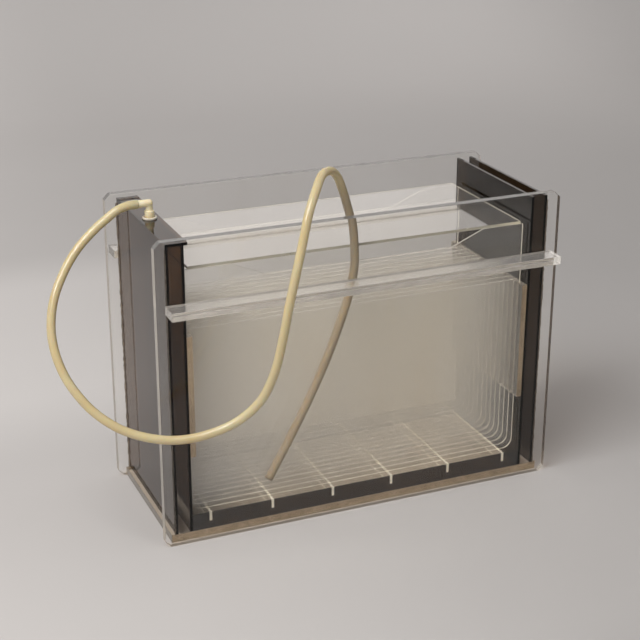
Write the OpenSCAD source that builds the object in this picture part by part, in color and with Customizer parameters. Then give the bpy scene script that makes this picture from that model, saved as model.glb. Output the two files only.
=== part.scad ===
// Archival print washer: a clear tank whose end walls carry slotted guides for
// a row of thin dividers. Water enters a sealed chamber at the left, rises
// between the dividers and leaves through an open chamber at the right.
// Front is -Y. The origin is on the surface the tank stands on, at its middle.

/* [Panels] */
// Length of the front and back panels
panel_w = 480; // [430:1:560]
// Height of the front and back panels
panel_h = 353; // [348:0.5:400]
// Thickness of the front and back panels
panel_t = 9.5; // [7:0.5:12]
// Cut across each corner of a panel
panel_chamfer = 6.5; // [2:0.5:12]
// Clear depth between the two panels
tank_depth = 175; // [170:1:200]

/* [Base plate] */
// Thickness of the base plate
base_t = 9.5; // [7:0.5:12]
// Height of the base plate above the surface
base_lift = 1.5; // [0.5:0.5:4]
// Reach of the base plate past each outer wall
base_overhang = 4.6; // [1:0.2:7]

/* [End walls] */
// Reach of the panels past each outer wall
panel_overhang = 13.5; // [8:0.5:20]
// Thickness of the dark end walls
wall_t = 3.2; // [2.5:0.1:4.5]
// Distance from a panel's top edge down to the cap and the right end walls
wall_drop = 4.5; // [2:0.5:12]
// Clear width of the chamber between two end walls
chamber_gap = 13.8; // [10:0.1:18]
// Diameter of the flow holes low in the inner walls
flow_hole_d = 3.2; // [2:0.1:4]
// Height of the flow holes above the base plate
flow_hole_rise = 11; // [5:0.5:18]
// Diameter of the outlet hole in the right outer wall
outlet_d = 19; // [12:0.5:24]
// Height of the outlet hole's centre above the base plate
outlet_rise = 279; // [220:1:300]

/* [Chamber cap] */
// Thickness of the cap on the inlet chamber
cap_t = 3.2; // [2.5:0.1:4.5]
// Reach of the cap past the inner wall, over the tank
cap_lip = 4.2; // [1:0.2:6]

/* [Ribs] */
// Depth of the stiffening rib on each panel
rib_d = 24; // [12:1:32]
// Thickness of the ribs
rib_t = 9.5; // [6:0.5:12]
// Distance from a panel's top edge down to its rib
rib_drop = 69; // [50:0.5:110]
// Distance from a panel's end to the end of its rib
rib_inset = 9.5; // [2:0.5:20]

/* [Rails and strips] */
// Thickness of the dark rails
rail_t = 3.2; // [2.5:0.1:4.5]
// Height of the rails
rail_h = 18; // [16:0.5:24]
// Number of cross strips
strip_count = 6; // [3:1:8]
// Thickness of the cross strips
strip_t = 3.2; // [2.5:0.1:4.5]
// Height of the cross strips
strip_h = 11.3; // [8:0.1:14]
// Rise of the strips' top edges above the rails
strip_proud = 2; // [0.5:0.1:4]
// Distance from an inner wall to the first strip's middle
strip_inset = 21.3; // [16:0.1:40]
// Gap between a strip's end and the panel
strip_end_gap = 0.3; // [0.1:0.1:1]
// Side clearance of a strip in its notch
notch_play = 0.2; // [0.1:0.05:0.4]

/* [Combs] */
// Thickness of the slotted guides on the inner walls
comb_t = 6.4; // [5:0.1:9]
// Height of the guides
comb_h = 141; // [100:1:165]
// Depth of the grooves in the guides
groove_depth = 3.65; // [2.5:0.05:4.2]
// Side clearance of a sheet in its groove
groove_play = 0.3; // [0.1:0.05:0.5]

/* [Sheets] */
// Number of movable dividers
divider_count = 12; // [8:1:13]
// Thickness of the dividers and baffles
sheet_t = 2.4; // [1.5:0.1:3.2]
// Gap between a sheet's end and its groove's floor
sheet_end_gap = 0.8; // [0.3:0.1:1.2]
// Radius of the lower corners of the sheets
sheet_corner_r = 12; // [4:0.5:20]
// Height of a divider
divider_h = 211.8; // [190:0.1:225]
// Gap between a divider's lower edge and the strips
divider_seat_gap = 0.2; // [0.05:0.05:0.5]
// Height of a baffle at its middle
baffle_h = 267; // [255:1:280]
// Height of the ears at a baffle's ends
ear_h = 16.3; // [8:0.1:24]
// Length of an ear's flat top
ear_flat = 51; // [20:1:80]
// Length of the slope from the flat down to the middle
ear_slope = 39; // [10:1:60]

/* [Lid] */
// Thickness of the lid
lid_t = 3.2; // [2.5:0.1:4.5]
// Gap between the lid and the cap's lip at each end
lid_end_gap = 2.6; // [1:0.1:8]
// Distance of the lid's front edge behind the front baffle's face
lid_front_set = 0.5; // [0:0.1:1]
// Gap between the lid's rear edge and the back panel
lid_rear_gap = 1.5; // [0.5:0.1:4]
// Gap between the lid and the ears it lies on
lid_seat_gap = 0.2; // [0.05:0.05:0.5]

/* [Inlet fitting] */
// Diameter of the grommet's flange
grommet_flange_d = 15.8; // [15:0.1:21]
// Height of the grommet's flange
grommet_flange_h = 2.2; // [1.5:0.1:4]
// Depth of the recess in the grommet's flange
grommet_recess = 1.4; // [0.5:0.1:1.4]
// Diameter of the grommet's neck in the cap
grommet_neck_d = 11.4; // [10:0.1:13]
// Clearance between the grommet's neck and the cap
grommet_play = 0.05; // [0.02:0.01:0.15]
// Diameter of the elbow's upright stem
elbow_stem_d = 7.8; // [6.5:0.1:8]
// Clearance between the stem and the grommet
stem_play = 0.05; // [0.02:0.01:0.15]
// Reach of the stem below the cap
stem_reach = 4; // [1:0.5:12]
// Diameter of the elbow's collar
elbow_collar_d = 10.4; // [9.5:0.1:12.5]
// Side clearance of the collar in the grommet's recess
collar_play = 0.9; // [0.3:0.1:1.2]
// Height of the elbow's collar
elbow_collar_h = 8.5; // [3:0.1:9]
// Diameter of the elbow's level leg
elbow_leg_d = 8.2; // [7.8:0.1:9.5]
// Height of the leg's axis above the cap
elbow_rise = 17.5; // [14:0.1:20]
// Length of the leg from the stem's axis to the hose
elbow_leg_l = 12.7; // [10:0.1:16]
// Length of the barb inside the hose
barb_l = 9; // [8:0.5:14]
// Diameter of the barb's core
barb_core_d = 6.2; // [5.4:0.1:7]
// Diameter over the barb's teeth
barb_tooth_d = 7.8; // [7.2:0.1:8.6]
// Number of teeth on the barb
barb_teeth = 3; // [1:1:4]
// Bore of the elbow
elbow_bore_d = 4.6; // [3:0.1:5]

/* [Hose] */
// Outer diameter of the inlet hose
hose_d = 9.5; // [6:0.1:10]

/* [Hidden] */
divider_names = [for (i = [1 : divider_count]) str("divider_", i < 10 ? "0" : "", i)];
strip_names = [for (i = [1 : strip_count]) str("cross_strip_", i)];

cut = 1;            // how far a cutting shape runs past the face it cuts
fine = 64;          // facets of round features

// along X, measured from the middle of the tank
outer_face = panel_w / 2 - panel_overhang;
inner_face = outer_face - 2 * wall_t - chamber_gap;
comb_face = inner_face - comb_t;
sheet_l = 2 * (comb_face + groove_depth - sheet_end_gap);
strip_pitch = 2 * (inner_face - strip_inset) / (strip_count - 1);
cap_w = outer_face - inner_face + cap_lip;
lid_l = 2 * (inner_face - cap_lip - lid_end_gap);

// along Y
half_depth = tank_depth / 2;
sheet_count = divider_count + 2;
sheet_pitch = tank_depth / (sheet_count + 1);
groove_w = sheet_t + 2 * groove_play;
lid_front = sheet_y(1) - sheet_t / 2 + lid_front_set;
lid_rear = half_depth - lid_rear_gap;

// along Z
base_top = base_lift + base_t;
cap_top = panel_h - wall_drop;
cap_bottom = cap_top - cap_t;
rail_top = base_top + rail_h;
strip_top = rail_top + strip_proud;
strip_bottom = strip_top - strip_h;
divider_bottom = strip_top + divider_seat_gap;
divider_top = divider_bottom + divider_h;
comb_bottom = divider_top - comb_h;
lid_bottom = strip_top + baffle_h + ear_h + lid_seat_gap;
rib_bottom = panel_h - rib_drop - rib_t;

// inlet fitting, on the middle of the cap
fitting_x = cap_w / 2 - outer_face;
leg_z = cap_top + elbow_rise;
collar_z = cap_top + grommet_flange_h - grommet_recess;
tooth_l = barb_l / barb_teeth;

// Route of the hose's middle line: off the elbow to the left, round in front
// of the tank, over the front panel and down between it and the front baffle
hose_points = [
    [-227, 0, 366], [-238, 0, 365.5], [-249.5, 0, 362], [-261, -1, 355],
    [-277, -4, 344.5], [-298, -10, 327.5], [-315.5, -18, 307], [-330, -28.5, 283],
    [-338, -41.5, 258], [-339, -56, 235], [-334, -71.5, 213], [-324, -86.5, 194],
    [-310, -101, 177.5], [-290, -116, 163.5], [-265, -130, 155], [-236, -142, 152],
    [-205, -151, 157], [-174.5, -158.5, 170], [-151.5, -166.5, 193.5], [-138, -171, 225],
    [-129.5, -172, 259], [-122, -171, 293], [-112, -167, 328], [-101, -158, 357],
    [-91, -149, 382], [-78, -136.5, 401], [-64.5, -121, 412], [-48.5, -106, 411],
    [-35.5, -94.5, 400], [-26.5, -87, 384], [-19, -82.5, 365], [-13.5, -82.3, 344],
    [-11, -82.3, 318], [-11, -82.3, 292], [-17, -82.3, 262], [-29, -82.3, 226],
    [-45, -82.3, 186], [-65, -82.3, 144], [-89, -82.3, 99], [-114, -82.3, 55]
];
hose_sides = 12;
rings_per_span = 2;
hose_start_dir = [-1, 0, 0];

clear = [0.86, 0.85, 0.81, 0.4];
milky = [0.9, 0.88, 0.79, 0.45];
smoked = [0.22, 0.2, 0.19];
cream = [0.9, 0.84, 0.66];

function sheet_y(i) = -half_depth + i * sheet_pitch;
function strip_x(i) = -inner_face + strip_inset + (i - 1) * strip_pitch;
function unit(v) = v / norm(v);

// a point between p[i] and p[i + 1] on a smooth curve through all of p
function curve_point(p, i, t) =
    let (last = len(p) - 1,
         a = p[max(i - 1, 0)], b = p[i], c = p[min(i + 1, last)], d = p[min(i + 2, last)])
    0.5 * (2 * b + (c - a) * t + (2 * a - 5 * b + 4 * c - d) * pow(t, 2)
           + (3 * b - a - 3 * c + d) * pow(t, 3));

// ---- shared shapes ----

// box between two corners
module box(low, high) {
    translate(low) cube(high - low);
}

// upright panel outline with its corners cut, extruded towards +Y
module panel() {
    w = panel_w / 2;
    c = panel_chamfer;
    rotate([90, 0, 0]) linear_extrude(panel_t)
        polygon([[c - w, 0], [w - c, 0], [w, c], [w, panel_h - c],
                 [w - c, panel_h], [c - w, panel_h], [-w, panel_h - c], [-w, c]]);
}

// sheet outline with round lower corners, standing on the X axis
module sheet_outline(h) {
    r = sheet_corner_r;
    translate([-sheet_l / 2, r]) square([sheet_l, h - r]);
    translate([r - sheet_l / 2, 0]) square([sheet_l - 2 * r, h / 2]);
    for (side = [-1, 1])
        translate([side * (sheet_l / 2 - r), r]) circle(r, $fn = fine);
}

// stands an outline up as a sheet in groove number i
module stand_sheet(i, z) {
    translate([0, sheet_y(i) + sheet_t / 2, z])
        rotate([90, 0, 0]) linear_extrude(sheet_t) children();
}

module end_wall(x, top) {
    box([x, -half_depth, base_top], [x + wall_t, half_depth, top]);
}

// one flow hole for each gap between the sheets
module flow_holes(x) {
    for (i = [0 : sheet_count])
        translate([x - cut, sheet_y(i + 0.5), base_top + flow_hole_rise])
            rotate([0, 90, 0]) cylinder(d = flow_hole_d, h = wall_t + 2 * cut, $fn = fine);
}

module rib() {
    half = panel_w / 2 - rib_inset;
    box([-half, 0, rib_bottom], [half, rib_d, rib_bottom + rib_t]);
}

// slotted guide on the right inner wall
module comb() {
    difference() {
        box([comb_face, -half_depth, comb_bottom], [inner_face, half_depth, divider_top]);
        for (i = [1 : sheet_count])
            box([comb_face - cut, sheet_y(i) - groove_w / 2, comb_bottom - cut],
                [comb_face + groove_depth, sheet_y(i) + groove_w / 2, divider_top + cut]);
    }
}

// notched rail, from y towards +Y
module rail(y) {
    half = strip_t / 2 + notch_play;
    difference() {
        box([-inner_face, y, base_top], [inner_face, y + rail_t, rail_top]);
        for (i = [1 : strip_count])
            box([strip_x(i) - half, y - cut, strip_bottom],
                [strip_x(i) + half, y + rail_t + cut, rail_top + cut]);
    }
}

// tall sheet with raised ears at both ends
module baffle(i) {
    half = sheet_l / 2;
    ear = [[half, baffle_h + ear_h], [half - ear_flat, baffle_h + ear_h],
           [half - ear_flat - ear_slope, baffle_h]];
    other_ear = [for (k = [len(ear) - 1 : -1 : 0]) [-ear[k].x, ear[k].y]];
    stand_sheet(i, strip_top) {
        sheet_outline(baffle_h - ear_h);
        polygon(concat([[-half, baffle_h / 2], [half, baffle_h / 2]], ear, other_ear));
    }
}

// ---- pieces ----

module front_panel() {
    color(clear) translate([0, -half_depth, 0]) panel();
}

module back_panel() {
    color(clear) translate([0, half_depth + panel_t, 0]) panel();
}

module base_plate() {
    half = outer_face + base_overhang;
    color([0.62, 0.57, 0.5]) box([-half, -half_depth, base_lift], [half, half_depth, base_top]);
}

module left_outer_wall() {
    color(smoked) end_wall(-outer_face, cap_bottom);
}

module left_inner_wall() {
    x = -inner_face - wall_t;
    color(smoked) difference() {
        end_wall(x, cap_bottom);
        flow_holes(x);
    }
}

module chamber_cap() {
    color(smoked) difference() {
        box([-outer_face, -half_depth, cap_bottom], [cap_w - outer_face, half_depth, cap_top]);
        translate([fitting_x, 0, cap_bottom - cut])
            cylinder(d = grommet_neck_d + 2 * grommet_play, h = cap_t + 2 * cut, $fn = fine);
    }
}

module right_inner_wall() {
    color(smoked) difference() {
        end_wall(inner_face, cap_top);
        flow_holes(inner_face);
    }
}

module right_outer_wall() {
    x = outer_face - wall_t;
    color(smoked) difference() {
        end_wall(x, cap_top);
        translate([x - cut, 0, base_top + outlet_rise])
            rotate([0, 90, 0]) cylinder(d = outlet_d, h = wall_t + 2 * cut, $fn = fine);
    }
}

module front_rib() {
    color(clear) translate([0, -half_depth - panel_t - rib_d, 0]) rib();
}

module back_rib() {
    color(clear) translate([0, half_depth + panel_t, 0]) rib();
}

module left_comb() {
    color(milky) mirror([1, 0, 0]) comb();
}

module right_comb() {
    color(milky) comb();
}

module front_rail() {
    color(smoked) rail(-half_depth);
}

module back_rail() {
    color(smoked) rail(half_depth - rail_t);
}

// cross strip number i from the left
module cross_strip(i) {
    y = half_depth - strip_end_gap;
    color(milky) box([strip_x(i) - strip_t / 2, -y, strip_bottom],
                     [strip_x(i) + strip_t / 2, y, strip_top]);
}

module front_baffle() {
    color(milky) baffle(1);
}

module rear_baffle() {
    color(milky) baffle(sheet_count);
}

// divider number i from the front
module divider(i) {
    color(milky) stand_sheet(i + 1, divider_bottom) sheet_outline(divider_h);
}

module lid() {
    color(clear) box([-lid_l / 2, lid_front, lid_bottom], [lid_l / 2, lid_rear, lid_bottom + lid_t]);
}

module inlet_grommet() {
    color([0.84, 0.79, 0.7]) translate([fitting_x, 0, 0]) difference() {
        union() {
            translate([0, 0, cap_top])
                cylinder(d = grommet_flange_d, h = grommet_flange_h, $fn = fine);
            translate([0, 0, cap_bottom])
                cylinder(d = grommet_neck_d, h = cap_t + grommet_flange_h / 2, $fn = fine);
        }
        translate([0, 0, cap_bottom - cut])
            cylinder(d = elbow_stem_d + 2 * stem_play, h = cap_t + grommet_flange_h + 2 * cut,
                     $fn = fine);
        translate([0, 0, collar_z])
            cylinder(d = elbow_collar_d + 2 * collar_play, h = grommet_flange_h, $fn = fine);
    }
}

// the barb's outline from the end of the leg: radius against length, one
// tooth after another, each rising to a sharp shoulder that grips the hose
module barb_outline() {
    core = barb_core_d / 2;
    tooth = barb_tooth_d / 2;
    polygon(concat(
        [[0, 0]],
        [for (i = [0 : barb_teeth - 1])
            each [[core, i * tooth_l], [tooth, i * tooth_l + tooth_l / 4], [core, (i + 1) * tooth_l]]],
        [[0, barb_l]]));
}

module inlet_elbow() {
    color(cream) translate([fitting_x, 0, 0]) difference() {
        union() {
            translate([0, 0, cap_bottom - stem_reach])
                cylinder(d = elbow_stem_d, h = leg_z - cap_bottom + stem_reach, $fn = fine);
            translate([0, 0, collar_z])
                cylinder(d = elbow_collar_d, h = elbow_collar_h, $fn = fine);
            translate([0, 0, leg_z]) {
                sphere(d = elbow_leg_d, $fn = fine);
                rotate([0, -90, 0]) {
                    cylinder(d = elbow_leg_d, h = elbow_leg_l, $fn = fine);
                    translate([0, 0, elbow_leg_l]) rotate_extrude($fn = fine) barb_outline();
                }
            }
        }
        translate([0, 0, cap_bottom - stem_reach - cut])
            cylinder(d = elbow_bore_d, h = leg_z - cap_bottom + stem_reach + cut, $fn = fine);
        translate([0, 0, leg_z]) {
            sphere(d = elbow_bore_d, $fn = fine);
            rotate([0, -90, 0])
                cylinder(d = elbow_bore_d, h = elbow_leg_l + barb_l + cut, $fn = fine);
        }
    }
}

// round tube swept along the route
module inlet_hose() {
    spans = len(hose_points) - 1;
    line = [for (i = [0 : spans - 1], k = [0 : rings_per_span - 1])
                curve_point(hose_points, i, k / rings_per_span),
            hose_points[spans]];
    last = len(line) - 1;
    dirs = [for (i = [0 : last])
                i == 0 ? hose_start_dir : unit(line[min(i + 1, last)] - line[i - 1])];
    // each ring's side direction is the one before it, turned square to the line
    sides = [for (i = 0, s = [0, 1, 0]; i <= last;
                  i = i + 1, s = unit(s - dirs[min(i, last)] * (s * dirs[min(i, last)]))) s];
    rings = [for (i = [0 : last]) let (u = unit(sides[i] - dirs[i] * (sides[i] * dirs[i])))
                for (k = [0 : hose_sides - 1]) let (a = 360 * k / hose_sides)
                    line[i] + hose_d / 2 * (cos(a) * u + sin(a) * cross(dirs[i], u))];
    walls = [for (i = [0 : last - 1], k = [0 : hose_sides - 1])
                let (a = i * hose_sides + k, b = i * hose_sides + (k + 1) % hose_sides)
                    each [[a, a + hose_sides, b], [b, a + hose_sides, b + hose_sides]]];
    caps = [[for (k = [0 : hose_sides - 1]) k],
            [for (k = [hose_sides - 1 : -1 : 0]) last * hose_sides + k]];
    color(cream) polyhedron(rings, concat(walls, caps));
}

front_panel();
back_panel();
base_plate();
left_outer_wall();
left_inner_wall();
chamber_cap();
right_inner_wall();
right_outer_wall();
front_rib();
back_rib();
left_comb();
right_comb();
front_rail();
back_rail();
for (i = [1 : strip_count])
    cross_strip(i);
front_baffle();
rear_baffle();
for (i = [1 : divider_count])
    divider(i);
lid();
inlet_grommet();
inlet_elbow();
inlet_hose();
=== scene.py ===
# Archival print washer: surfaces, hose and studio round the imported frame
from math import cos, exp, pi, radians, sin, tau

import bmesh
import bpy
from mathutils import Matrix, Vector


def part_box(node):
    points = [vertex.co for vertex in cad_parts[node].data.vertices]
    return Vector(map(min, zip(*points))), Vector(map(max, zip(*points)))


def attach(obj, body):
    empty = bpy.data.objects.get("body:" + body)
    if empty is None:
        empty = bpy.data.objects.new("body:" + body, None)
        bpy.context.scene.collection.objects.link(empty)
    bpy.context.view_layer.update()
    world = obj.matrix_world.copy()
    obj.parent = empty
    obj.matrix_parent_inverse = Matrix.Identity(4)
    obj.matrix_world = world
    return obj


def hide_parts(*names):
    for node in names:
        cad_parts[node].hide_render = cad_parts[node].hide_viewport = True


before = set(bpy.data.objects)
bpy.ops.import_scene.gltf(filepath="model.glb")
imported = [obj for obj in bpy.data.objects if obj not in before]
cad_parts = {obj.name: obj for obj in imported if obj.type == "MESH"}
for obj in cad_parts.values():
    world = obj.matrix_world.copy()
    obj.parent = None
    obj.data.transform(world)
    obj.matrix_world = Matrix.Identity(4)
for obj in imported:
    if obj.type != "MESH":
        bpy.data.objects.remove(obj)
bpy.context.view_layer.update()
mm = 0.001
scene = bpy.context.scene


# the camera, turned and tilted
camera = {
    "place": (-0.6468, -1.4738, 0.8375),
    "turnRight": 23.22,     # degrees, from +Y towards +X
    "lookDown": 21.68,
    "roll": 0.11,
    "lens": 83.5,
}


def placeCamera(s):
    data = bpy.data.cameras.new("camera")
    data.lens = s["lens"]
    data.sensor_width = 36
    data.clip_end = 50
    cam = bpy.data.objects.new("camera", data)
    cam.matrix_world = (Matrix.Translation(s["place"])
                        @ Matrix.Rotation(radians(-s["turnRight"]), 4, "Z")
                        @ Matrix.Rotation(radians(90 - s["lookDown"]), 4, "X")
                        @ Matrix.Rotation(radians(s["roll"]), 4, "Z"))
    scene.collection.objects.link(cam)
    scene.camera = cam


placeCamera(camera)
print("camera placed")


# small helpers for node trees, and the effects that several materials share
def addNode(tree, kind, inputs=None, **settings):
    node = tree.nodes.new(kind)
    for key, value in settings.items():
        setattr(node, key, value)
    for key, value in (inputs or {}).items():
        if isinstance(value, bpy.types.NodeSocket):
            tree.links.new(value, node.inputs[key])
        else:
            node.inputs[key].default_value = value
    return node


def newTree(name, kind, inputs, outputs):
    tree = bpy.data.node_groups.new(name, kind)
    for label, socketType, value in inputs:
        socket = tree.interface.new_socket(label, in_out="INPUT", socket_type="NodeSocket" + socketType)
        if value is not None:
            socket.default_value = value
    for label, socketType in outputs:
        tree.interface.new_socket(label, in_out="OUTPUT", socket_type="NodeSocket" + socketType)
    return tree, tree.nodes.new("NodeGroupInput"), tree.nodes.new("NodeGroupOutput")


def handlingMarksGroup():
    # faint smears and fine wiping scratches on a polished sheet
    tree, given, out = newTree(
        "handlingMarks", "ShaderNodeTree",
        [("Vector", "Vector", None), ("Smears", "Float", 0.05), ("Scratches", "Float", 0.2)],
        [("Roughness", "Float"), ("Height", "Float")])
    smear = addNode(tree, "ShaderNodeTexNoise",
                    {"Vector": given.outputs["Vector"], "Scale": 9.0, "Detail": 4.0, "Distortion": 1.2})
    smearMask = addNode(tree, "ShaderNodeMapRange",
                        {"Value": smear.outputs["Fac"], "From Min": 0.5, "From Max": 0.75})
    rough = addNode(tree, "ShaderNodeMath",
                    {0: smearMask.outputs["Result"], 1: given.outputs["Smears"]}, operation="MULTIPLY")
    tilt = addNode(tree, "ShaderNodeMapping",
                   {"Vector": given.outputs["Vector"], "Rotation": (0.2, 0.7, 0.35),
                    "Scale": (3, 3, 160)})
    lines = addNode(tree, "ShaderNodeTexNoise",
                    {"Vector": tilt.outputs["Vector"], "Scale": 4.0, "Detail": 2.0})
    cutLines = addNode(tree, "ShaderNodeMapRange",
                       {"Value": lines.outputs["Fac"], "From Min": 0.66, "From Max": 0.8})
    height = addNode(tree, "ShaderNodeMath",
                     {0: cutLines.outputs["Result"], 1: given.outputs["Scratches"]}, operation="MULTIPLY")
    tree.links.new(rough.outputs[0], out.inputs["Roughness"])
    tree.links.new(height.outputs[0], out.inputs["Height"])
    return tree


def twoToneGroup():
    # one tone turning into another in soft clouds, stretched by the vector that is given
    tree, given, out = newTree(
        "twoTone", "ShaderNodeTree",
        [("Vector", "Vector", None), ("Main", "Color", (0.9, 0.85, 0.7, 1)),
         ("Other", "Color", (0.7, 0.6, 0.35, 1)), ("Size", "Float", 40.0),
         ("From", "Float", 0.35), ("To", "Float", 0.75)],
        [("Color", "Color"), ("Mask", "Float")])
    cloud = addNode(tree, "ShaderNodeTexNoise",
                    {"Vector": given.outputs["Vector"], "Scale": given.outputs["Size"], "Detail": 4.0})
    mask = addNode(tree, "ShaderNodeMapRange",
                   {"Value": cloud.outputs["Fac"], "From Min": given.outputs["From"],
                    "From Max": given.outputs["To"]})
    tone = addNode(tree, "ShaderNodeMixRGB",
                   {"Fac": mask.outputs["Result"], "Color1": given.outputs["Main"],
                    "Color2": given.outputs["Other"]})
    tree.links.new(tone.outputs["Color"], out.inputs["Color"])
    tree.links.new(mask.outputs["Result"], out.inputs["Mask"])
    return tree


def sawCutGroup():
    # fine saw lines and uneven polish on a cut edge
    tree, given, out = newTree(
        "sawCut", "ShaderNodeTree",
        [("Vector", "Vector", None), ("Lines", "Float", 900.0), ("Dullest", "Float", 0.35)],
        [("Height", "Float"), ("Roughness", "Float")])
    saw = addNode(tree, "ShaderNodeTexNoise",
                  {"Vector": given.outputs["Vector"], "Scale": given.outputs["Lines"], "Detail": 2.0})
    wide = addNode(tree, "ShaderNodeTexNoise",
                   {"Vector": given.outputs["Vector"], "Scale": 60.0, "Detail": 3.0})
    rough = addNode(tree, "ShaderNodeMath",
                    {0: wide.outputs["Fac"], 1: given.outputs["Dullest"]}, operation="MULTIPLY")
    tree.links.new(saw.outputs["Fac"], out.inputs["Height"])
    tree.links.new(rough.outputs[0], out.inputs["Roughness"])
    return tree


groups = {"marks": handlingMarksGroup(), "twoTone": twoToneGroup(), "sawCut": sawCutGroup()}


def useGroup(tree, name, inputs):
    return addNode(tree, "ShaderNodeGroup", inputs, node_tree=groups[name])


def startMaterial(name):
    mat = bpy.data.materials.new(name)
    mat.use_nodes = True
    tree = mat.node_tree
    tree.nodes.clear()
    place = addNode(tree, "ShaderNodeTexCoord").outputs["Object"]
    return mat, tree, place


def closeMaterial(tree, shader):
    addNode(tree, "ShaderNodeOutputMaterial", {"Surface": shader})


def letLampsThrough(tree, shader, tint):
    # lamps reach what is behind a clear sheet, tinted by it
    path = addNode(tree, "ShaderNodeLightPath")
    clear = addNode(tree, "ShaderNodeBsdfTransparent", {"Color": (*tint, 1)})
    mix = addNode(tree, "ShaderNodeMixShader",
                  {0: path.outputs["Is Shadow Ray"], 1: shader, 2: clear.outputs[0]})
    return mix.outputs[0]


# clear and smoked sheets, then cut edges
plastics = {
    # tint: what a sheet lets through; film: dried water marks; haze: the share that scatters
    # lamps: the share of a lamp's light that each face lets by; shine: the share of the usual mirroring
    "clearPlate": {"tint": (0.975, 0.97, 0.96), "film": (0.94, 0.925, 0.9), "haze": 0.008,
                   "lamps": (0.98, 0.975, 0.97), "smears": 0.06, "shine": 0.45},
    "baseSheet": {"tint": (0.74, 0.71, 0.66), "film": (0.66, 0.62, 0.56), "haze": 0.006,
                  "lamps": (0.86, 0.83, 0.79), "smears": 0.06, "shine": 0.35},
    "clearSheet": {"tint": (0.996, 0.99, 0.976), "film": (0.985, 0.972, 0.945), "haze": 0.042,
                   "lamps": (0.985, 0.98, 0.97), "smears": 0.02, "shine": 0.9},
    "lidSheet": {"tint": (0.97, 0.96, 0.945), "film": (0.95, 0.935, 0.91), "haze": 0.03,
                 "lamps": (0.98, 0.975, 0.96), "smears": 0.04, "shine": 1.0},
    "smokedSheet": {"tint": (0.1, 0.05, 0.022), "film": (0.12, 0.07, 0.04), "haze": 0.003,
                    "lamps": (0.12, 0.08, 0.05), "smears": 0.1, "shine": 0.9},
    # deepSmokeAndShadeSheet: a darker copy of the smoked sheet; on the right walls the extra darkness is
    # painted shade, on the rails it is darker smoke
    "deepSmokeAndShadeSheet": {"tint": (0.05, 0.03, 0.016), "film": (0.06, 0.04, 0.024), "haze": 0.003,
                  "lamps": (0.6, 0.56, 0.52), "smears": 0.08, "shine": 0.8},
}
cutEdges = {
    # tone and other: two close tones; through: the share that goes through; grain: size of the clouds
    "polishedEdge": {"tone": (0.82, 0.8, 0.78), "other": (0.74, 0.72, 0.69), "through": 0.8,
                     "dullest": 0.35, "grain": 25},
    "sawnEdge": {"tone": (0.96, 0.94, 0.89), "other": (0.88, 0.86, 0.8), "through": 0.88,
                 "dullest": 0.3, "grain": 25},
    "faintEdge": {"tone": (0.84, 0.8, 0.73), "other": (0.78, 0.73, 0.65), "through": 0.55,
                  "dullest": 0.3, "grain": 25},
    "panelEnd": {"tone": (0.78, 0.72, 0.64), "other": (0.68, 0.61, 0.52), "through": 0.55,
                 "dullest": 0.3, "grain": 60},
    "rightEnd": {"tone": (0.34, 0.26, 0.2), "other": (0.22, 0.16, 0.12), "through": 0.7,
                 "dullest": 0.3, "grain": 60},
    "ribPlate": {"tone": (0.99, 0.98, 0.965), "other": (0.96, 0.945, 0.925), "through": 0.93,
                 "dullest": 0.12, "grain": 90},
    "ribEnd": {"tone": (0.8, 0.77, 0.74), "other": (0.5, 0.48, 0.46), "through": 0.8,
               "dullest": 0.3, "grain": 220},
    "ribRightEnd": {"tone": (0.97, 0.96, 0.94), "other": (0.6, 0.58, 0.56), "through": 0.4,
                    "dullest": 0.4, "grain": 260},
    "baseEdge": {"tone": (0.86, 0.79, 0.69), "other": (0.74, 0.66, 0.55), "through": 0.78,
                 "dullest": 0.25, "grain": 90},
    "combEdge": {"tone": (0.86, 0.8, 0.71), "other": (0.72, 0.65, 0.56), "through": 0.86,
                 "dullest": 0.3, "grain": 60},
    # creamEdgeAndGlow and lidEdgeAndGlow: the cut edge's own cream tone, with painted glow of light piped
    # along the sheet
    "creamEdgeAndGlow": {"tone": (0.93, 0.88, 0.76), "other": (0.84, 0.78, 0.64), "through": 0.35,
                  "dullest": 0.6, "grain": 40},
    "lidEdgeAndGlow": {"tone": (0.95, 0.9, 0.74), "other": (0.88, 0.81, 0.62), "through": 0.55,
                "dullest": 0.4, "grain": 40},
    "cement": {"tone": (0.5, 0.42, 0.34), "other": (0.12, 0.09, 0.07), "through": 0.85,
               "dullest": 0.1, "grain": 300},
}


def sheetMaterial(name, s):
    mat, tree, place = startMaterial(name)
    marks = useGroup(tree, "marks", {"Vector": place, "Smears": s["smears"]})
    stretched = addNode(tree, "ShaderNodeMapping", {"Vector": place, "Scale": (3, 3, 0.7)})
    tone = useGroup(tree, "twoTone", {"Vector": stretched.outputs[0], "Main": (*s["tint"], 1),
                                      "Other": (*s["film"], 1), "Size": 5.0, "From": 0.45, "To": 0.9})
    bump = addNode(tree, "ShaderNodeBump",
                   {"Height": marks.outputs["Height"], "Strength": 0.05, "Distance": 0.0002})
    shader = addNode(tree, "ShaderNodeBsdfPrincipled",
                     {"Base Color": tone.outputs["Color"], "Roughness": marks.outputs["Roughness"],
                      "IOR": 1.49, "Transmission Weight": 1 - s["haze"], "Normal": bump.outputs["Normal"],
                      "Specular Tint": (s["shine"], s["shine"], s["shine"], 1)})
    closeMaterial(tree, letLampsThrough(tree, shader.outputs[0], s["lamps"]))
    return mat


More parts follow.
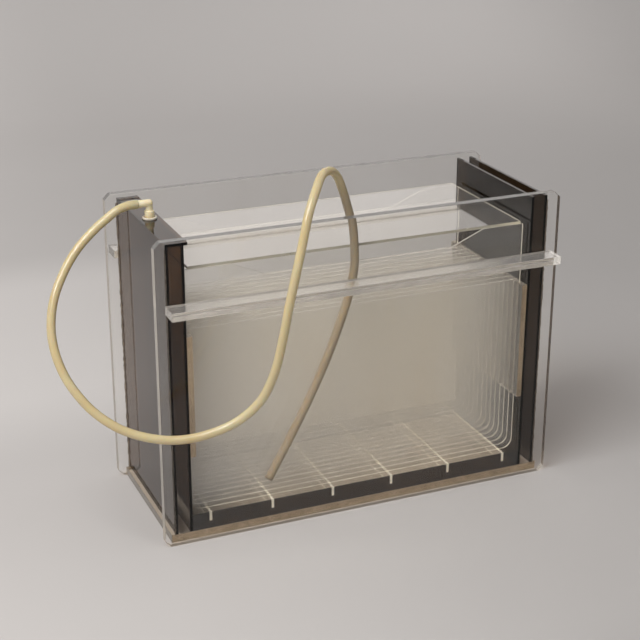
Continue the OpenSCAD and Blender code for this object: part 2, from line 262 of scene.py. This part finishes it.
def edgeMaterial(name, s):
    mat, tree, place = startMaterial(name)
    saw = useGroup(tree, "sawCut", {"Vector": place, "Dullest": s["dullest"]})
    tone = useGroup(tree, "twoTone", {"Vector": place, "Main": (*s["tone"], 1),
                                      "Other": (*s["other"], 1), "Size": s["grain"]})
    bump = addNode(tree, "ShaderNodeBump",
                   {"Height": saw.outputs["Height"], "Strength": 0.25, "Distance": 0.0003})
    shader = addNode(tree, "ShaderNodeBsdfPrincipled",
                     {"Base Color": tone.outputs["Color"], "Roughness": saw.outputs["Roughness"],
                      "IOR": 1.49, "Transmission Weight": s["through"], "Normal": bump.outputs["Normal"]})
    closeMaterial(tree, letLampsThrough(tree, shader.outputs[0], s["tone"]))
    return mat


materials = {name: sheetMaterial(name, s) for name, s in plastics.items()}
materials |= {name: edgeMaterial(name, s) for name, s in cutEdges.items()}


vinyl = {
    "main": (0.84, 0.69, 0.44), "other": (0.74, 0.57, 0.32), "grain": 14.0,
    # painted shade on the hose inside the tank: its tone, and where it starts along X and Y
    "paintedTankShade": (0.4, 0.33, 0.24), "shadedFromX": -0.2, "shadedFromY": (-0.096, -0.084),
    "roughness": 0.15, "smears": 0.12, "through": 0.25, "glow": 0.8, "glowDepth": 0.005,
}
nylon = {
    "main": (0.82, 0.72, 0.5), "other": (0.72, 0.59, 0.35), "grain": 120.0,
    "roughness": 0.32, "glow": 0.6, "glowDepth": 0.003,
}
ring = {
    "main": (0.78, 0.72, 0.62), "other": (0.6, 0.53, 0.42), "grain": 160.0,
    "roughness": 0.35, "glow": 0.3, "glowDepth": 0.002,
}


def vinylMaterial(s):
    mat, tree, place = startMaterial("creamVinyl")
    tone = useGroup(tree, "twoTone", {"Vector": place, "Main": (*s["main"], 1),
                                      "Other": (*s["other"], 1), "Size": s["grain"]})
    # painted shade: the end that hangs in the tank, behind the front panel, is darkened
    spot = addNode(tree, "ShaderNodeSeparateXYZ", {"Vector": place})
    start, end = s["shadedFromY"]
    behind = addNode(tree, "ShaderNodeMapRange",
                     {"Value": spot.outputs["Y"], "From Min": start, "From Max": end})
    inTank = addNode(tree, "ShaderNodeMath",
                     {0: spot.outputs["X"], 1: s["shadedFromX"]}, operation="GREATER_THAN")
    paintedTankShade = addNode(tree, "ShaderNodeMath",
                    {0: behind.outputs["Result"], 1: inTank.outputs[0]}, operation="MULTIPLY")
    tankShaded = addNode(tree, "ShaderNodeMixRGB",
                      {"Fac": paintedTankShade.outputs[0], "Color1": tone.outputs["Color"],
                       "Color2": (*s["paintedTankShade"], 1)})
    marks = useGroup(tree, "marks", {"Vector": place, "Smears": s["smears"]})
    rough = addNode(tree, "ShaderNodeMath",
                    {0: marks.outputs["Roughness"], 1: s["roughness"]}, operation="ADD")
    shader = addNode(tree, "ShaderNodeBsdfPrincipled",
                     {"Base Color": tankShaded.outputs["Color"], "Roughness": rough.outputs[0], "IOR": 1.5,
                      "Transmission Weight": s["through"], "Subsurface Weight": s["glow"],
                      "Subsurface Radius": (1.0, 0.75, 0.4), "Subsurface Scale": s["glowDepth"]})
    closeMaterial(tree, shader.outputs[0])
    return mat


def nylonMaterial(s):
    mat, tree, place = startMaterial("creamNylon")
    tone = useGroup(tree, "twoTone", {"Vector": place, "Main": (*s["main"], 1),
                                      "Other": (*s["other"], 1), "Size": s["grain"]})
    saw = useGroup(tree, "sawCut", {"Vector": place, "Lines": 500.0, "Dullest": 0.5})
    bump = addNode(tree, "ShaderNodeBump",
                   {"Height": saw.outputs["Height"], "Strength": 0.08, "Distance": 0.0003})
    shader = addNode(tree, "ShaderNodeBsdfPrincipled",
                     {"Base Color": tone.outputs["Color"], "Roughness": s["roughness"], "IOR": 1.53,
                      "Subsurface Weight": s["glow"], "Subsurface Radius": (1.0, 0.75, 0.4),
                      "Subsurface Scale": s["glowDepth"], "Normal": bump.outputs["Normal"]})
    closeMaterial(tree, shader.outputs[0])
    return mat


def ringMaterial(s):
    mat, tree, place = startMaterial("paleRing")
    tone = useGroup(tree, "twoTone", {"Vector": place, "Main": (*s["main"], 1),
                                      "Other": (*s["other"], 1), "Size": s["grain"]})
    shader = addNode(tree, "ShaderNodeBsdfPrincipled",
                     {"Base Color": tone.outputs["Color"], "Roughness": s["roughness"], "IOR": 1.5,
                      "Subsurface Weight": s["glow"], "Subsurface Radius": (1.0, 0.8, 0.5),
                      "Subsurface Scale": s["glowDepth"]})
    closeMaterial(tree, shader.outputs[0])
    return mat


materials |= {"creamVinyl": vinylMaterial(vinyl), "creamNylon": nylonMaterial(nylon),
              "paleRing": ringMaterial(ring)}
print("materials made:", ", ".join(materials))


# from a frame node to a finished piece
def linkPiece(name, mesh):
    piece = bpy.data.objects.new(name, mesh)
    scene.collection.objects.link(piece)
    return piece


def makePlain(piece):
    # the piece with its modifiers becomes a plain mesh
    graph = bpy.context.evaluated_depsgraph_get()
    mesh = bpy.data.meshes.new_from_object(piece.evaluated_get(graph), depsgraph=graph)
    piece.modifiers.clear()
    piece.data = mesh
    return piece


def bevelEdges(piece, width, segments=2):
    bevel = piece.modifiers.new("bevel", "BEVEL")
    bevel.width = width
    bevel.segments = segments
    bevel.limit_method = "ANGLE"
    bevel.angle_limit = radians(40)


def standFor(piece, slot, body, *nodes):
    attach(piece, body)
    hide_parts(*nodes)
    return piece


def joinedCopy(node):
    # the node's triangles joined into whole faces
    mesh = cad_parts[node].data.copy()
    mesh.materials.clear()
    bm = bmesh.new()
    bm.from_mesh(mesh)
    bmesh.ops.remove_doubles(bm, verts=bm.verts, dist=0.02 * mm)
    bmesh.ops.dissolve_limit(bm, angle_limit=radians(0.5), verts=bm.verts, edges=bm.edges)
    bm.to_mesh(mesh)
    bm.free()
    return linkPiece(node + "_sheet", mesh)


turned = {"up": 0.5, "flat": 0.7}     # how far a face's normal leans up, or any one way
finishes = {
    # a piece's faces by the way they look: along X, along Y, down, up, and to the right if that differs
    "panel": ("panelEnd", "clearPlate", "panelEnd", "polishedEdge", "rightEnd"),
    "base": ("baseEdge", "baseEdge", "baseSheet", "baseSheet"),
    "rib": ("ribEnd", "ribPlate", "ribPlate", "ribPlate", "ribRightEnd"),
    "dark": ("smokedSheet", "smokedSheet", "smokedSheet", "smokedSheet"),
    "deep": ("deepSmokeAndShadeSheet", "deepSmokeAndShadeSheet", "deepSmokeAndShadeSheet", "deepSmokeAndShadeSheet"),
    "comb": ("clearSheet", "combEdge", "combEdge", "combEdge"),
    "strip": ("clearSheet", "creamEdgeAndGlow", "creamEdgeAndGlow", "sawnEdge"),
    "sheet": ("creamEdgeAndGlow", "clearSheet", "creamEdgeAndGlow", "faintEdge"),
    "lid": ("lidEdgeAndGlow", "lidEdgeAndGlow", "lidSheet", "lidSheet"),
}


def paintFaces(piece, finish):
    piece.data.materials.clear()
    for name in finishes[finish]:
        piece.data.materials.append(materials[name])
    for polygon in piece.data.polygons:
        x, y, z = polygon.normal
        side = 1 if abs(y) > turned["flat"] else 0
        side = 3 if z > turned["up"] else 2 if -z > turned["flat"] else side
        polygon.material_index = 4 if side == 0 and x > 0 and len(finishes[finish]) > 4 else side
        polygon.use_smooth = False


# pieces that follow a rule grow from node trees
sideInputs = [("Along X", "Material", None), ("Along Y", "Material", None),
              ("Down", "Material", None), ("Up", "Material", None)]


def paintNodes(tree, given, out, shape):
    # ends a tree: whole meshes, and a finish for each way that a face looks
    flat = addNode(tree, "GeometryNodeRealizeInstances", {"Geometry": shape})
    normal = addNode(tree, "GeometryNodeInputNormal")
    facing = addNode(tree, "ShaderNodeSeparateXYZ", {"Vector": normal.outputs["Normal"]})
    alongY = addNode(tree, "ShaderNodeMath", {0: facing.outputs["Y"]}, operation="ABSOLUTE")
    down = addNode(tree, "ShaderNodeMath", {0: facing.outputs["Z"], 1: -1.0}, operation="MULTIPLY")
    painted = addNode(tree, "GeometryNodeSetMaterial",
                      {"Geometry": flat.outputs["Geometry"], "Material": given.outputs["Along X"]})
    for label, amount, least in (("Along Y", alongY.outputs[0], turned["flat"]),
                                 ("Down", down.outputs[0], turned["flat"]),
                                 ("Up", facing.outputs["Z"], turned["up"])):
        picked = addNode(tree, "FunctionNodeCompare", {0: amount, 1: least})
        painted = addNode(tree, "GeometryNodeSetMaterial",
                          {"Geometry": painted.outputs["Geometry"], "Selection": picked.outputs["Result"],
                           "Material": given.outputs[label]})
    tree.links.new(painted.outputs["Geometry"], out.inputs["Geometry"])


def roundSheetTree():
    # an upright sheet with round lower corners
    tree, given, out = newTree(
        "roundSheet", "GeometryNodeTree",
        [("Size", "Vector", (0.4, 0.0024, 0.2)), ("Centre", "Vector", (0, 0, 0)),
         ("Corner", "Float", 0.012), ("Arc points", "Int", 10), *sideInputs],
        [("Geometry", "Geometry")])
    size = addNode(tree, "ShaderNodeSeparateXYZ", {"Vector": given.outputs["Size"]})
    outline = addNode(tree, "GeometryNodeCurvePrimitiveQuadrilateral",
                      {"Width": size.outputs["X"], "Height": size.outputs["Z"]})
    here = addNode(tree, "GeometryNodeInputPosition")
    height = addNode(tree, "ShaderNodeSeparateXYZ", {"Vector": here.outputs["Position"]})
    lower = addNode(tree, "ShaderNodeMath", {0: height.outputs["Y"], 1: 0.0}, operation="LESS_THAN")
    radius = addNode(tree, "ShaderNodeMath",
                     {0: lower.outputs[0], 1: given.outputs["Corner"]}, operation="MULTIPLY")
    rounded = addNode(tree, "GeometryNodeFilletCurve",
                      {"Curve": outline.outputs["Curve"], "Count": given.outputs["Arc points"],
                       "Radius": radius.outputs[0], "Limit Radius": True}, mode="POLY")
    face = addNode(tree, "GeometryNodeFillCurve", {"Curve": rounded.outputs["Curve"]}, mode="NGONS")
    thick = addNode(tree, "GeometryNodeExtrudeMesh",
                    {"Mesh": face.outputs["Mesh"], "Offset Scale": size.outputs["Y"],
                     "Individual": False})
    back = addNode(tree, "GeometryNodeFlipFaces", {"Mesh": face.outputs["Mesh"]})
    both = addNode(tree, "GeometryNodeJoinGeometry")
    tree.links.new(thick.outputs["Mesh"], both.inputs["Geometry"])
    tree.links.new(back.outputs["Mesh"], both.inputs["Geometry"])
    closed = addNode(tree, "GeometryNodeMergeByDistance",
                     {"Geometry": both.outputs["Geometry"], "Distance": 0.01 * mm})
    half = addNode(tree, "ShaderNodeMath", {0: size.outputs["Y"], 1: -0.5}, operation="MULTIPLY")
    shift = addNode(tree, "ShaderNodeCombineXYZ", {"Z": half.outputs[0]})
    centred = addNode(tree, "GeometryNodeTransform",
                      {"Geometry": closed.outputs["Geometry"], "Translation": shift.outputs["Vector"]})
    upright = addNode(tree, "GeometryNodeTransform",
                      {"Geometry": centred.outputs["Geometry"], "Translation": given.outputs["Centre"],
                       "Rotation": (pi / 2, 0, 0)})
    paintNodes(tree, given, out, upright.outputs["Geometry"])
    return tree


def notchedBarTree():
    # a bar with a row of equal cuts
    tree, given, out = newTree(
        "notchedBar", "GeometryNodeTree",
        [("Size", "Vector", (0.4, 0.003, 0.018)), ("Centre", "Vector", (0, 0, 0)),
         ("Cut size", "Vector", (0.003, 0.01, 0.01)), ("First cut", "Vector", (0, 0, 0)),
         ("Cut step", "Vector", (0.01, 0, 0)), ("Cuts", "Int", 6), *sideInputs],
        [("Geometry", "Geometry")])
    cube = addNode(tree, "GeometryNodeMeshCube", {"Size": given.outputs["Size"]})
    bar = addNode(tree, "GeometryNodeTransform",
                  {"Geometry": cube.outputs["Mesh"], "Translation": given.outputs["Centre"]})
    places = addNode(tree, "GeometryNodeMeshLine",
                     {"Count": given.outputs["Cuts"], "Start Location": given.outputs["First cut"],
                      "Offset": given.outputs["Cut step"]})
    cutter = addNode(tree, "GeometryNodeMeshCube", {"Size": given.outputs["Cut size"]})
    cuts = addNode(tree, "GeometryNodeInstanceOnPoints",
                   {"Points": places.outputs["Mesh"], "Instance": cutter.outputs["Mesh"]})
    flat = addNode(tree, "GeometryNodeRealizeInstances", {"Geometry": cuts.outputs["Instances"]})
    notched = addNode(tree, "GeometryNodeMeshBoolean", {"Mesh 1": bar.outputs["Geometry"]},
                      operation="DIFFERENCE", solver="EXACT")
    tree.links.new(flat.outputs["Geometry"], notched.inputs["Mesh 2"])
    paintNodes(tree, given, out, notched.outputs["Mesh"])
    return tree


def stripRowTree():
    # equal bars in a row
    tree, given, out = newTree(
        "stripRow", "GeometryNodeTree",
        [("Size", "Vector", (0.003, 0.17, 0.01)), ("First", "Vector", (0, 0, 0)),
         ("Step", "Vector", (0.05, 0, 0)), ("Count", "Int", 6), *sideInputs],
        [("Geometry", "Geometry")])
    places = addNode(tree, "GeometryNodeMeshLine",
                     {"Count": given.outputs["Count"], "Start Location": given.outputs["First"],
                      "Offset": given.outputs["Step"]})
    strip = addNode(tree, "GeometryNodeMeshCube", {"Size": given.outputs["Size"]})
    row = addNode(tree, "GeometryNodeInstanceOnPoints",
                  {"Points": places.outputs["Mesh"], "Instance": strip.outputs["Mesh"]})
    paintNodes(tree, given, out, row.outputs["Instances"])
    return tree


def cementBeadTree():
    # bubbly beads of cement, one up each outer corner between an end wall and a panel
    tree, given, out = newTree(
        "cementBead", "GeometryNodeTree",
        [("Apart X", "Float", 0.4), ("Apart Y", "Float", 0.1), ("Bottom", "Vector", (0, 0, 0)),
         ("Height", "Float", 0.3), ("Radius", "Float", 0.0005), ("Rings", "Int", 300),
         ("Bubble size", "Float", 300.0), ("Bubbles", "Float", 0.0005), ("Finish", "Material", None)],
        [("Geometry", "Geometry")])
    corners = addNode(tree, "GeometryNodeMeshGrid",
                      {"Size X": given.outputs["Apart X"], "Size Y": given.outputs["Apart Y"],
                       "Vertices X": 2, "Vertices Y": 2})
    top = addNode(tree, "ShaderNodeCombineXYZ", {"Z": given.outputs["Height"]})
    line = addNode(tree, "GeometryNodeCurvePrimitiveLine", {"End": top.outputs["Vector"]})
    fine = addNode(tree, "GeometryNodeResampleCurve",
                   {"Curve": line.outputs["Curve"], "Count": given.outputs["Rings"]})
    section = addNode(tree, "GeometryNodeCurvePrimitiveCircle",
                      {"Resolution": 8, "Radius": given.outputs["Radius"]})
    bead = addNode(tree, "GeometryNodeCurveToMesh",
                   {"Curve": fine.outputs["Curve"], "Profile Curve": section.outputs["Curve"],
                    "Fill Caps": True})
    beads = addNode(tree, "GeometryNodeInstanceOnPoints",
                    {"Points": corners.outputs["Mesh"], "Instance": bead.outputs["Mesh"]})
    lifted = addNode(tree, "GeometryNodeTransform",
                     {"Geometry": beads.outputs["Instances"], "Translation": given.outputs["Bottom"]})
    flat = addNode(tree, "GeometryNodeRealizeInstances", {"Geometry": lifted.outputs["Geometry"]})
    here = addNode(tree, "GeometryNodeInputPosition")
    cloud = addNode(tree, "ShaderNodeTexNoise",
                    {"Vector": here.outputs["Position"], "Scale": given.outputs["Bubble size"],
                     "Detail": 1.0})
    swell = addNode(tree, "ShaderNodeMapRange",
                    {"Value": cloud.outputs["Fac"], "From Min": 0.35, "From Max": 0.7,
                     "To Max": given.outputs["Bubbles"]})
    normal = addNode(tree, "GeometryNodeInputNormal")
    push = addNode(tree, "ShaderNodeVectorMath",
                   {0: normal.outputs["Normal"], "Scale": swell.outputs["Result"]}, operation="SCALE")
    bubbly = addNode(tree, "GeometryNodeSetPosition",
                     {"Geometry": flat.outputs["Geometry"], "Offset": push.outputs["Vector"]})
    whole = addNode(tree, "GeometryNodeRealizeInstances", {"Geometry": bubbly.outputs["Geometry"]})
    painted = addNode(tree, "GeometryNodeSetMaterial",
                      {"Geometry": whole.outputs["Geometry"], "Material": given.outputs["Finish"]})
    tree.links.new(painted.outputs["Geometry"], out.inputs["Geometry"])
    return tree


trees = {"roundSheet": roundSheetTree(), "notchedBar": notchedBarTree(), "stripRow": stripRowTree(),
         "cementBead": cementBeadTree()}


def growPiece(name, treeName, values, bevel=0.0):
    # runs a tree with its named inputs and keeps the result as a plain mesh
    tree = trees[treeName]
    piece = linkPiece(name, bpy.data.meshes.new(name))
    grow = piece.modifiers.new("grow", "NODES")
    grow.node_group = tree
    for item in tree.interface.items_tree:
        if item.item_type == "SOCKET" and item.in_out == "INPUT" and item.name in values:
            grow[item.identifier] = values[item.name]
    if bevel:
        bevelEdges(piece, bevel)
    return makePlain(piece)


def sideFinishes(finish):
    return {side[0]: materials[name] for side, name in zip(sideInputs, finishes[finish])}


def spanOf(node):
    # a node's size and centre
    low, high = (Vector(corner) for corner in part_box(node))
    return high - low, (high + low) / 2


sheets = {"corner": 12 * mm, "arcPoints": 10, "bevel": 0.15 * mm, "count": 12}
combs = {"grooveWidth": 3.0 * mm, "grooveDepth": 3.65 * mm, "past": 2 * mm}
rails = {"notchWidth": 3.6 * mm, "past": 2 * mm}
strips = {"count": 6, "bevel": 0.15 * mm}
beads = {"radius": 0.7 * mm, "bubbles": 0.9 * mm, "bubbleSize": 240, "rings": 420,
         "inset": 0.3 * mm, "below": 3 * mm}


def makeDividers(s):
    for i in range(1, s["count"] + 1):
        node = f"divider_{i:02d}"
        size, centre = spanOf(node)
        piece = growPiece(node + "_sheet", "roundSheet",
                          {"Size": size, "Centre": centre, "Corner": s["corner"],
                           "Arc points": s["arcPoints"], **sideFinishes("sheet")}, s["bevel"])
        standFor(piece, "clear_sheet", node, node)


def makeCombs(s):
    first, last = spanOf("front_baffle")[1].y, spanOf("rear_baffle")[1].y
    step = (last - first) / (sheets["count"] + 1)
    for node, side in (("left_comb", -1), ("right_comb", 1)):
        size, centre = spanOf(node)
        face = centre.x - side * size.x / 2
        piece = growPiece(node + "_bar", "notchedBar",
                          {"Size": size, "Centre": centre,
                           "Cut size": (2 * s["grooveDepth"], s["grooveWidth"], size.z + s["past"]),
                           "First cut": (face, first, centre.z), "Cut step": (0, step, 0),
                           "Cuts": sheets["count"] + 2, **sideFinishes("comb")})
        standFor(piece, "clear_strip", "tank", node)


def makeRailsAndStrips(r, s):
    size, first = spanOf("cross_strip_1")
    step = spanOf("cross_strip_2")[1].x - first.x
    piece = growPiece("cross_strips_row", "stripRow",
                      {"Size": size, "First": first, "Step": (step, 0, 0), "Count": s["count"],
                       **sideFinishes("strip")}, s["bevel"])
    standFor(piece, "clear_strip", "tank", *(f"cross_strip_{i}" for i in range(1, s["count"] + 1)))
    stripBottom = first.z - size.z / 2
    for node in ("front_rail", "back_rail"):
        railSize, centre = spanOf(node)
        railTop = centre.z + railSize.z / 2
        notchSize = (r["notchWidth"], railSize.y + r["past"], 2 * (railTop - stripBottom))
        piece = growPiece(node + "_bar", "notchedBar",
                          {"Size": railSize, "Centre": centre, "Cut size": notchSize,
                           "First cut": (first.x, centre.y, railTop), "Cut step": (step, 0, 0),
                           "Cuts": s["count"], **sideFinishes("deep")})
        standFor(piece, "smoked_sheet", "tank", node)


def makeCementBeads(s):
    low, high = (Vector(corner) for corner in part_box("left_outer_wall"))
    piece = growPiece("cement_beads", "cementBead",
                      {"Apart X": -2 * low.x + 2 * s["inset"], "Apart Y": 2 * high.y - 2 * s["inset"],
                       "Bottom": (0, 0, low.z), "Height": high.z - low.z - s["below"],
                       "Radius": s["radius"], "Rings": s["rings"], "Bubble size": s["bubbleSize"],
                       "Bubbles": s["bubbles"], "Finish": materials["cement"]})
    piece.data.shade_smooth()
    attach(piece, "tank")


makeDividers(sheets)
makeCombs(combs)
makeRailsAndStrips(rails, strips)
makeCementBeads(beads)
print("dividers, combs, rails, strips and cement made")


# the flat plates keep the outlines of the frame
plates = {
    # node: finish, bevel in mm, material slot, body
    "front_panel": ("panel", 0.45, "clear_plate", "tank"),
    "back_panel": ("panel", 0.45, "clear_plate", "tank"),
    "base_plate": ("base", 0.3, "clear_plate", "tank"),
    "front_rib": ("rib", 0.4, "clear_plate", "tank"),
    "back_rib": ("rib", 0.4, "clear_plate", "tank"),
    "left_outer_wall": ("dark", 0.2, "smoked_sheet", "tank"),
    "left_inner_wall": ("dark", 0, "smoked_sheet", "tank"),
    # the right walls take the darker smoke as painted shade
    "right_inner_wall": ("deep", 0, "smoked_sheet", "tank"),
    "right_outer_wall": ("deep", 0, "smoked_sheet", "tank"),
    "chamber_cap": ("dark", 0, "smoked_sheet", "tank"),
    "front_baffle": ("sheet", 0.15, "clear_sheet", "tank"),
    "rear_baffle": ("sheet", 0.15, "clear_sheet", "tank"),
    "lid": ("lid", 0.25, "clear_sheet", "lid"),
}


def makePlate(node, s):
    finish, bevel, slot, body = s
    piece = joinedCopy(node)
    if bevel:
        bevelEdges(piece, bevel * mm)
        makePlain(piece)
    paintFaces(piece, finish)
    return standFor(piece, slot, body, node)


for node, s in plates.items():
    makePlate(node, s)
print("plates made")


# the hose and the fitting that it is pushed on
hose = {
    # route of the middle line in metres, from the elbow to the cut end in the tank
    "points": [
        (-0.227, 0, 0.366), (-0.238, 0, 0.3655), (-0.2495, 0, 0.362), (-0.261, -0.001, 0.355),
        (-0.277, -0.004, 0.3445), (-0.298, -0.01, 0.3275), (-0.3155, -0.018, 0.307),
        (-0.33, -0.0285, 0.283), (-0.338, -0.0415, 0.258), (-0.339, -0.056, 0.235),
        (-0.334, -0.0715, 0.213), (-0.324, -0.0865, 0.194), (-0.31, -0.101, 0.1775),
        (-0.29, -0.116, 0.1635), (-0.265, -0.13, 0.155), (-0.236, -0.142, 0.152),
        (-0.205, -0.151, 0.157), (-0.1745, -0.1585, 0.17), (-0.1515, -0.1665, 0.1935),
        (-0.138, -0.171, 0.225), (-0.1295, -0.172, 0.259), (-0.122, -0.171, 0.293),
        (-0.112, -0.167, 0.328), (-0.101, -0.158, 0.357), (-0.091, -0.149, 0.382),
        (-0.078, -0.1365, 0.401), (-0.0645, -0.121, 0.412), (-0.0485, -0.106, 0.411),
        (-0.0355, -0.0945, 0.4), (-0.0265, -0.087, 0.384), (-0.019, -0.0825, 0.365),
        (-0.0135, -0.0823, 0.344), (-0.011, -0.0823, 0.318), (-0.011, -0.0823, 0.292),
        (-0.017, -0.0823, 0.262), (-0.029, -0.0823, 0.226), (-0.045, -0.0823, 0.186),
        (-0.065, -0.0823, 0.144), (-0.089, -0.0823, 0.099), (-0.114, -0.0823, 0.055)],
    "radius": 0.00475, "bore": 0.0031, "barbBore": 0.00398, "barbReach": 0.0095,
    "swell": 0.0003, "swellAt": 0.005, "swellSpread": 0.006,
    "length": 1.138, "sides": 24, "stepsPerSpan": 8,
}


def smoothLine(points, steps):
    # a smooth line through every point
    line = []
    last = len(points) - 1
    for i in range(last):
        a, b, c, d = (Vector(points[min(max(i + k, 0), last)]) for k in (-1, 0, 1, 2))
        for step in range(steps):
            t = step / steps
            line.append(0.5 * (2 * b + (c - a) * t + (2 * a - 5 * b + 4 * c - d) * t ** 2
                               + (3 * b - a - 3 * c + d) * t ** 3))
    return line + [Vector(points[last])]


def ringFrames(line):
    # for each point: its direction and two side directions that don't twist
    frames = []
    side = Vector((0, 1, 0))
    for i, point in enumerate(line):
        along = (line[min(i + 1, len(line) - 1)] - line[max(i - 1, 0)]).normalized()
        side = (side - along * side.dot(along)).normalized()
        frames.append((point, side, along.cross(side)))
    return frames


def makeHose(s):
    line = smoothLine(s["points"], s["stepsPerSpan"])
    frames = ringFrames(line)
    reach = [0]
    for a, b in zip(line, line[1:]):
        reach.append(reach[-1] + (b - a).length)

    def outer(i):
        return s["radius"] + s["swell"] * exp(-((reach[i] - s["swellAt"]) / s["swellSpread"]) ** 2)

    def inner(i):
        return s["barbBore"] if reach[i] < s["barbReach"] else s["bore"]

    bm = bmesh.new()

    def ring(i, radius):
        point, u, v = frames[i]
        turns = [tau * k / s["sides"] for k in range(s["sides"])]
        return [bm.verts.new(point + radius * (cos(turn) * u + sin(turn) * v)) for turn in turns]

    count = len(line)
    rings = [ring(i, outer(i)) for i in range(count)]
    rings += [ring(i, inner(i)) for i in range(count - 1, -1, -1)]
    for a, b in zip(rings, rings[1:] + rings[:1]):
        for k in range(s["sides"]):
            j = (k + 1) % s["sides"]
            bm.faces.new((a[k], a[j], b[j], b[k]))
    bmesh.ops.recalc_face_normals(bm, faces=bm.faces)
    mesh = bpy.data.meshes.new("inlet_hose_tube")
    bm.to_mesh(mesh)
    bm.free()
    mesh.materials.append(materials["creamVinyl"])
    mesh.shade_smooth()
    piece = linkPiece("inlet_hose_tube", mesh)
    standFor(piece, "cream_vinyl", "tank", "inlet_hose")
    return piece, line


def makeFitting(node, finish, slot, bevel):
    piece = joinedCopy(node)
    piece.name = node + "_moulding"
    bevelEdges(piece, bevel)
    makePlain(piece)
    piece.data.materials.clear()
    piece.data.materials.append(materials[finish])
    piece.data.shade_smooth()
    piece.data.set_sharp_from_angle(angle=radians(50))
    return standFor(piece, slot, "tank", node)


elbow = makeFitting("inlet_elbow", "creamNylon", "cream_fitting", 0.2 * mm)
makeFitting("inlet_grommet", "paleRing", "pale_ring", 0.3 * mm)
tube, tubeLine = makeHose(hose)
print("hose and fitting made")


# paper backdrop, two lamps and a dim sky
studio = {
    "floorTone": (0.56, 0.54, 0.53), "cloudShade": 0.97, "cloudSize": 1.5,
    # painted light and shade on the paper along an axis, darker in front and to the right, paler far
    # behind: (axis, from, to, share before, share after)
    "paintedLightShares": (("Y", -0.72, -0.38, 0.62, 1.0), ("Y", 0.3, 2.4, 1.0, 1.45), ("X", -0.35, 0.25, 1.0, 0.86),
               ("X", 1.3, 1.95, 1.0, 0.84)),
    # painted pools of light, paler patches on the paper: rise along X, rise along Y, fall along Y, how
    # much
    "paintedLightPatches": (((0.3, 1.25), (1.0, 2.2), (8, 9), 0.14),
                ((0.35, -0.05), (0.15, 0.38), (0.75, 0.95), 0.18)),
    "behind": 1.7, "sweep": 0.9, "wallTop": 3.4, "halfWidth": 4.5, "floorStart": -4.0,
    "worldTone": (1.0, 0.99, 0.98), "worldStrength": 0.45,
}
lamps = {
    # name: place, aimed at, width, height, watts, tone
    "key": ((-1.25, -0.65, 1.9), (-0.15, -0.1, 0.1), 1.3, 1.0, 38, (1, 0.975, 0.95)),
    "rear": ((1.3, 2.45, 1.35), (1.3, 0, 1.1), 2.2, 0.9, 3.3, (1, 0.96, 0.93)),
}


def makeBackdrop(s):
    steps = 24
    profile = [(s["floorStart"], 0.0)]
    for k in range(steps + 1):
        angle = pi / 2 * k / steps
        profile.append((s["behind"] + s["sweep"] * sin(angle), s["sweep"] * (1 - cos(angle))))
    profile.append((s["behind"] + s["sweep"], s["wallTop"]))
    bm = bmesh.new()
    rows = [[bm.verts.new((x, y, z)) for x in (-s["halfWidth"], s["halfWidth"])] for y, z in profile]
    for a, b in zip(rows, rows[1:]):
        bm.faces.new((a[0], a[1], b[1], b[0]))
    mesh = bpy.data.meshes.new("backdrop")
    bm.to_mesh(mesh)
    bm.free()
    mat, tree, place = startMaterial("paperBackdrop")
    cloud = [s["cloudShade"] * level for level in s["floorTone"]]
    tone = useGroup(tree, "twoTone", {"Vector": place, "Main": (*s["floorTone"], 1),
                                      "Other": (*cloud, 1), "Size": s["cloudSize"]})
    along = addNode(tree, "ShaderNodeSeparateXYZ", {"Vector": place})
    colour = tone.outputs["Color"]

    def ramp(axis, start, end, before, after):
        change = addNode(tree, "ShaderNodeMapRange",
                         {"Value": along.outputs[axis], "From Min": start, "From Max": end,
                          "To Min": before, "To Max": after}, interpolation_type="SMOOTHSTEP")
        return change.outputs["Result"]

    # painted light and shade: the paper's colour is scaled along X and Y and raised in paler patches
    paintedLightShares = [ramp(*values) for values in s["paintedLightShares"]]
    for riseX, riseY, fallY, most in s["paintedLightPatches"]:
        rise = addNode(tree, "ShaderNodeMath",
                       {0: ramp("X", *riseX, 0, most), 1: ramp("Y", *riseY, 0, 1)}, operation="MULTIPLY")
        paintedPatch = addNode(tree, "ShaderNodeMath",
                        {0: rise.outputs[0], 1: ramp("Y", *fallY, 1, 0), 2: 1.0},
                        operation="MULTIPLY_ADD")
        paintedLightShares.append(paintedPatch.outputs[0])
    for share in paintedLightShares:
        scaled = addNode(tree, "ShaderNodeVectorMath", {0: colour, "Scale": share}, operation="SCALE")
        colour = scaled.outputs["Vector"]
    shader = addNode(tree, "ShaderNodeBsdfPrincipled",
                     {"Base Color": colour, "Roughness": 0.75, "Specular IOR Level": 0.25})
    closeMaterial(tree, shader.outputs[0])
    mesh.materials.append(mat)
    mesh.shade_smooth()
    linkPiece("backdrop", mesh)


def makeLamp(name, s):
    place, target, width, height, watts, tone = s
    data = bpy.data.lights.new(name, "AREA")
    data.shape = "RECTANGLE"
    data.size = width
    data.size_y = height
    data.energy = watts
    data.color = tone
    lamp = bpy.data.objects.new(name, data)
    lamp.location = place
    lamp.rotation_euler = (Vector(target) - Vector(place)).to_track_quat("-Z", "Y").to_euler()
    scene.collection.objects.link(lamp)


def makeWorld(s):
    world = bpy.data.worlds.new("studio")
    world.use_nodes = True
    tree = world.node_tree
    tree.nodes.clear()
    sky = addNode(tree, "ShaderNodeBackground",
                  {"Color": (*s["worldTone"], 1), "Strength": s["worldStrength"]})
    addNode(tree, "ShaderNodeOutputWorld", {"Surface": sky.outputs[0]})
    scene.world = world


makeBackdrop(studio)
for name, s in lamps.items():
    makeLamp(name, s)
makeWorld(studio)
scene.view_settings.view_transform = "Standard"
# a line of sight crosses more than thirty faces on its way through the dividers
scene.cycles.max_bounces = 48
scene.cycles.transmission_bounces = 48
scene.cycles.transparent_max_bounces = 64
print("studio made")
